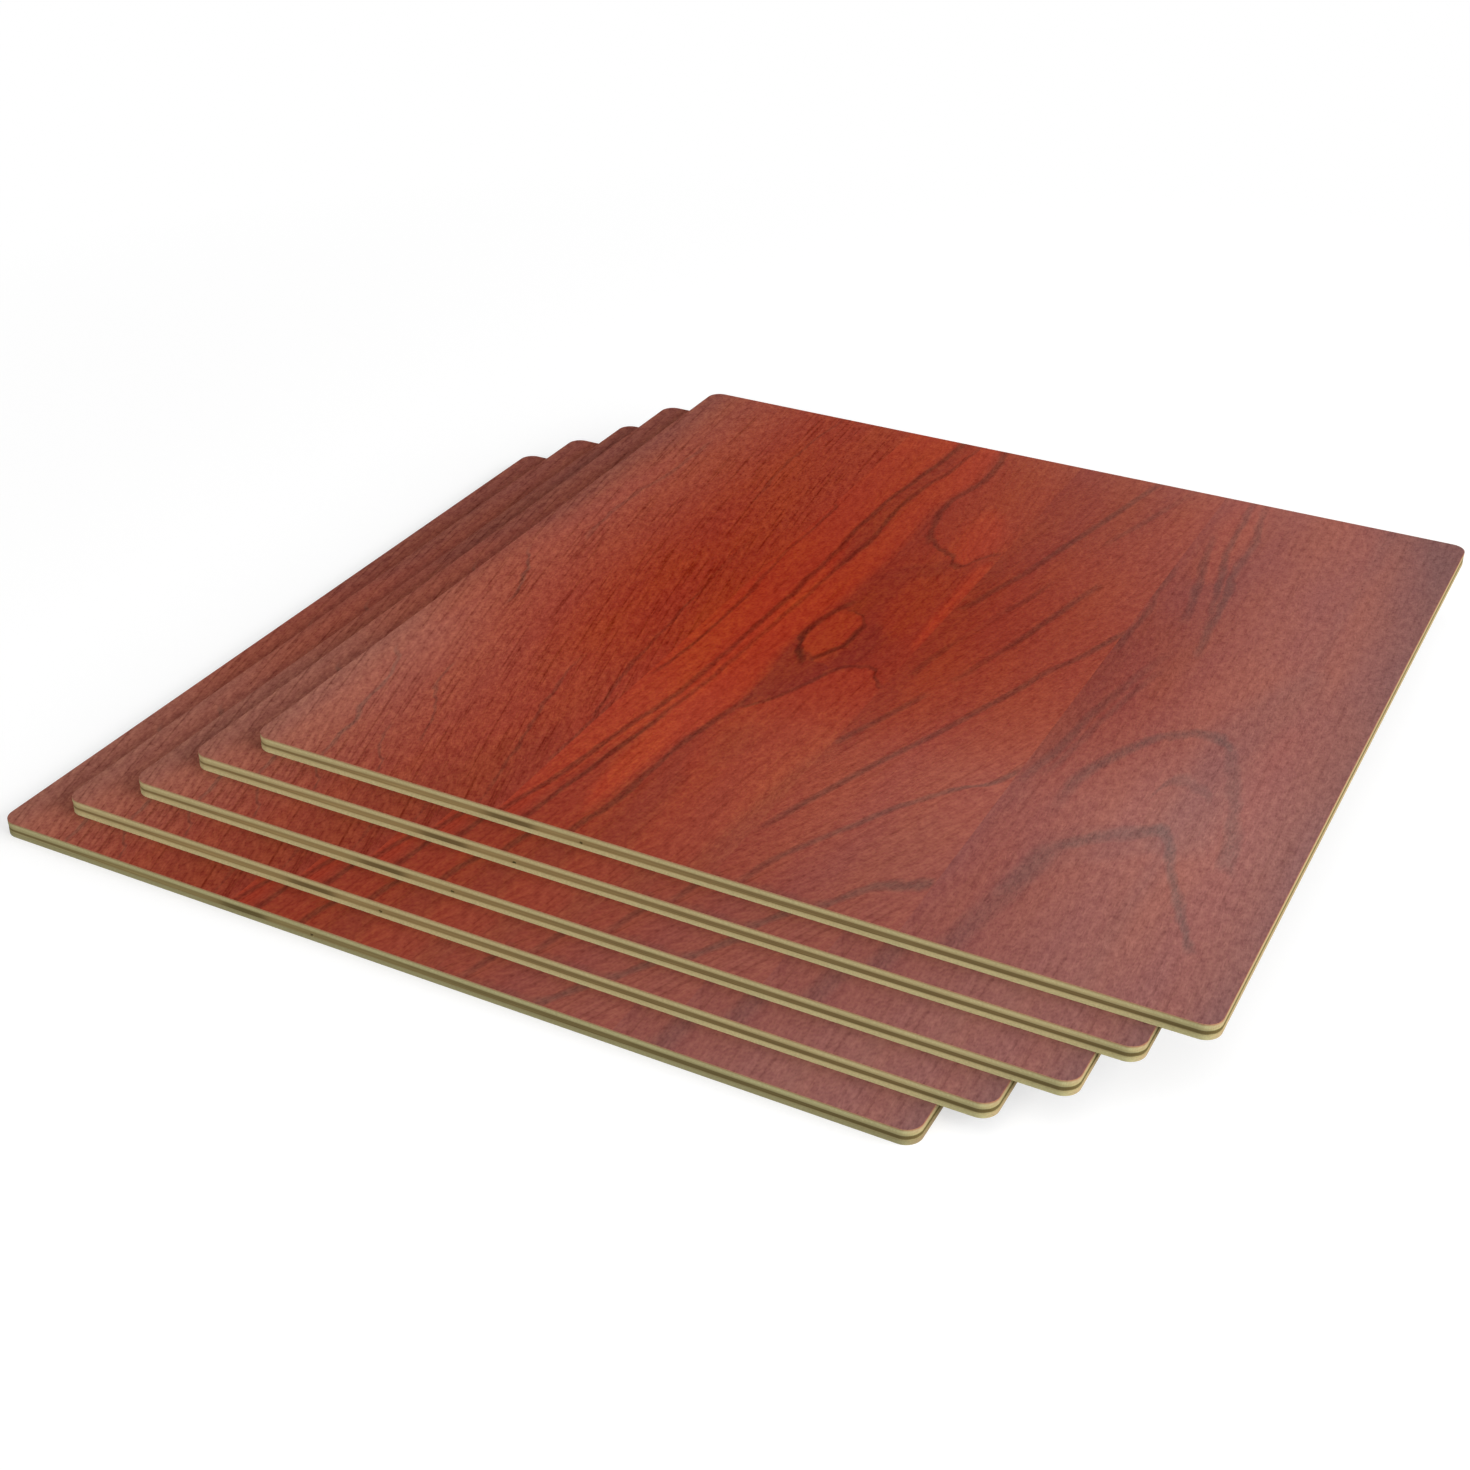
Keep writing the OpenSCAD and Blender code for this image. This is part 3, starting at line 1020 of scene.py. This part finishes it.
def make_world(level):
    """A dim even light from all round, white where the camera looks past the floor."""
    graph = Graph(bpy.data.worlds.new("room"))
    seen = graph.add("ShaderNodeLightPath", out=["Is Camera Ray"])[0]
    dim = graph.add("ShaderNodeBackground", None, {"Color": WHITE, "Strength": level})
    white = graph.add("ShaderNodeBackground", None, {"Color": WHITE, "Strength": 1.0})
    surface = graph.add("ShaderNodeMixShader", None, {0: seen, 1: dim, 2: white})
    graph.add("ShaderNodeOutputWorld", None, {"Surface": surface})
    bpy.context.scene.world = graph.owner


def make_camera(stage):
    """The camera, level and with no depth of field."""
    data = bpy.data.cameras.new("camera")
    data.sensor_width = SENSOR_MM
    data.lens = stage.camera_lens
    data.shift_x, data.shift_y = stage.camera_shift
    data.clip_start = 0.01
    camera = bpy.data.objects.new("camera", data)
    camera.location = stage.camera_place
    camera.rotation_euler = (math.pi / 2 - stage.camera_drop, 0, stage.camera_turn)
    bpy.context.scene.collection.objects.link(camera)
    bpy.context.scene.camera = camera


class PLYWOOD_PT_stack(bpy.types.Panel):
    """Lists the steps that dress the stack"""

    bl_label = "Plywood stack"
    bl_space_type = "VIEW_3D"
    bl_region_type = "UI"
    bl_category = "Plywood"

    def draw(self, context):
        for step in STEPS:
            self.layout.operator(step.bl_idname)
        for group in SETTINGS:
            settings = getattr(context.scene, group)
            for name in settings.__annotations__:
                self.layout.prop(settings, name)


SETTINGS = {
    "plywood_sheet": SheetSettings,
    "plywood_finish": FinishSettings,
    "plywood_stage": StageSettings,
}
STEPS = (
    PLYWOOD_OT_back_plies, PLYWOOD_OT_core_plies, PLYWOOD_OT_face_plies, PLYWOOD_OT_stage)
CLASSES = (*SETTINGS.values(), *STEPS, PLYWOOD_PT_stack)


def register():
    """Registers the classes and hangs their settings on the scene."""
    for cls in CLASSES:
        bpy.utils.register_class(cls)
    for name, group in SETTINGS.items():
        setattr(bpy.types.Scene, name, PointerProperty(type=group))


def unregister():
    """Takes the settings and the classes away again."""
    for name in SETTINGS:
        delattr(bpy.types.Scene, name)
    for cls in reversed(CLASSES):
        bpy.utils.unregister_class(cls)


def main():
    """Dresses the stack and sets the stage."""
    register()
    bpy.ops.plywood.back_plies()
    bpy.ops.plywood.core_plies()
    bpy.ops.plywood.face_plies()
    bpy.ops.plywood.stage()


if __name__ == "__main__":
    main()
